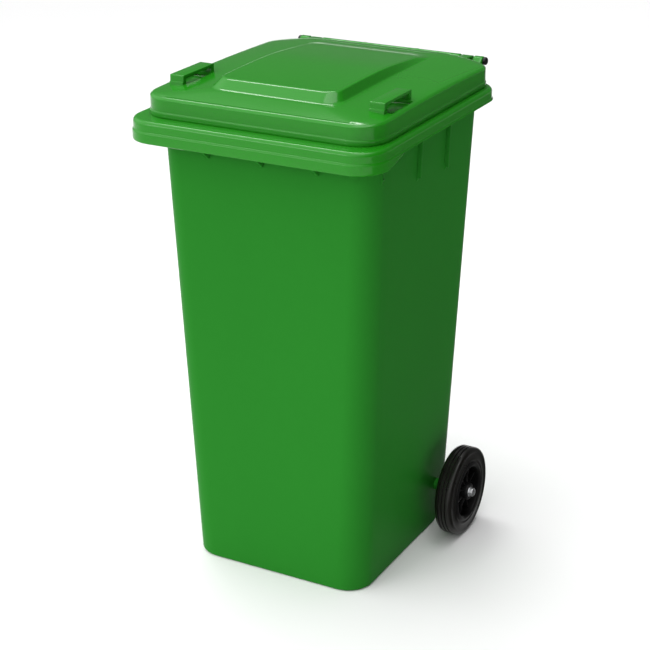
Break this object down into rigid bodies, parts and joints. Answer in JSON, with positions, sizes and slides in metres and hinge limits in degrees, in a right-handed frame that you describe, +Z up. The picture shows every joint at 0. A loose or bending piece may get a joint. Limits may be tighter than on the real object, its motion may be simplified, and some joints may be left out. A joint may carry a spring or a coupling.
{
  "type": "wheelie bin",
  "caption": "Two-wheeled refuse container with a tapered tub, comb rim, rear handle bar and a hinged lid with a raised panel and two grips.",
  "frame": {"origin": "on the floor, at the base's flat underside, below the middle of the rim", "axes": "+X to the right seen from the front, -Y towards the front, +Z up"},
  "size_m": [0.522, 0.5468, 0.913],
  "materials": {
    "body_plastic": "green moulded polyethylene, satin to gloss",
    "lid_plastic": "green moulded polyethylene, glossy",
    "pin_plastic": "black moulded plastic",
    "axle_steel": "zinc plated bar",
    "tyre_rubber": "black solid rubber",
    "wheel_plastic": "black moulded plastic",
    "washer_steel": "zinc plated",
    "cap_steel": "bright pressed steel"
  },
  "bodies": {
    "container": {"container": "body_plastic", "hinge_pin_left": "pin_plastic", "hinge_pin_right": "pin_plastic", "axle": "axle_steel", "washer_inner_left": "washer_steel", "washer_inner_right": "washer_steel", "washer_outer_left": "washer_steel", "washer_outer_right": "washer_steel", "axle_cap_left": "cap_steel", "axle_cap_right": "cap_steel"},
    "lid": {"lid": "lid_plastic"},
    "wheel_left": {"tyre_left": "tyre_rubber", "wheel_left": "wheel_plastic"},
    "wheel_right": {"tyre_right": "tyre_rubber", "wheel_right": "wheel_plastic"}
  },
  "joints": [
    {"name": "lid_hinge", "type": "hinge", "parent": "container", "child": "lid", "pos_m": [0, 0.284, 0.8802], "axis": [-1, 0, 0], "range_deg": [0, 265]},
    {"name": "wheel_left_spin", "type": "hinge", "parent": "container", "child": "wheel_left", "pos_m": [-0.2315, 0.1336, 0.085], "axis": [1, 0, 0], "continuous": true},
    {"name": "wheel_right_spin", "type": "hinge", "parent": "container", "child": "wheel_right", "pos_m": [0.2315, 0.1336, 0.085], "axis": [1, 0, 0], "continuous": true}
  ]
}
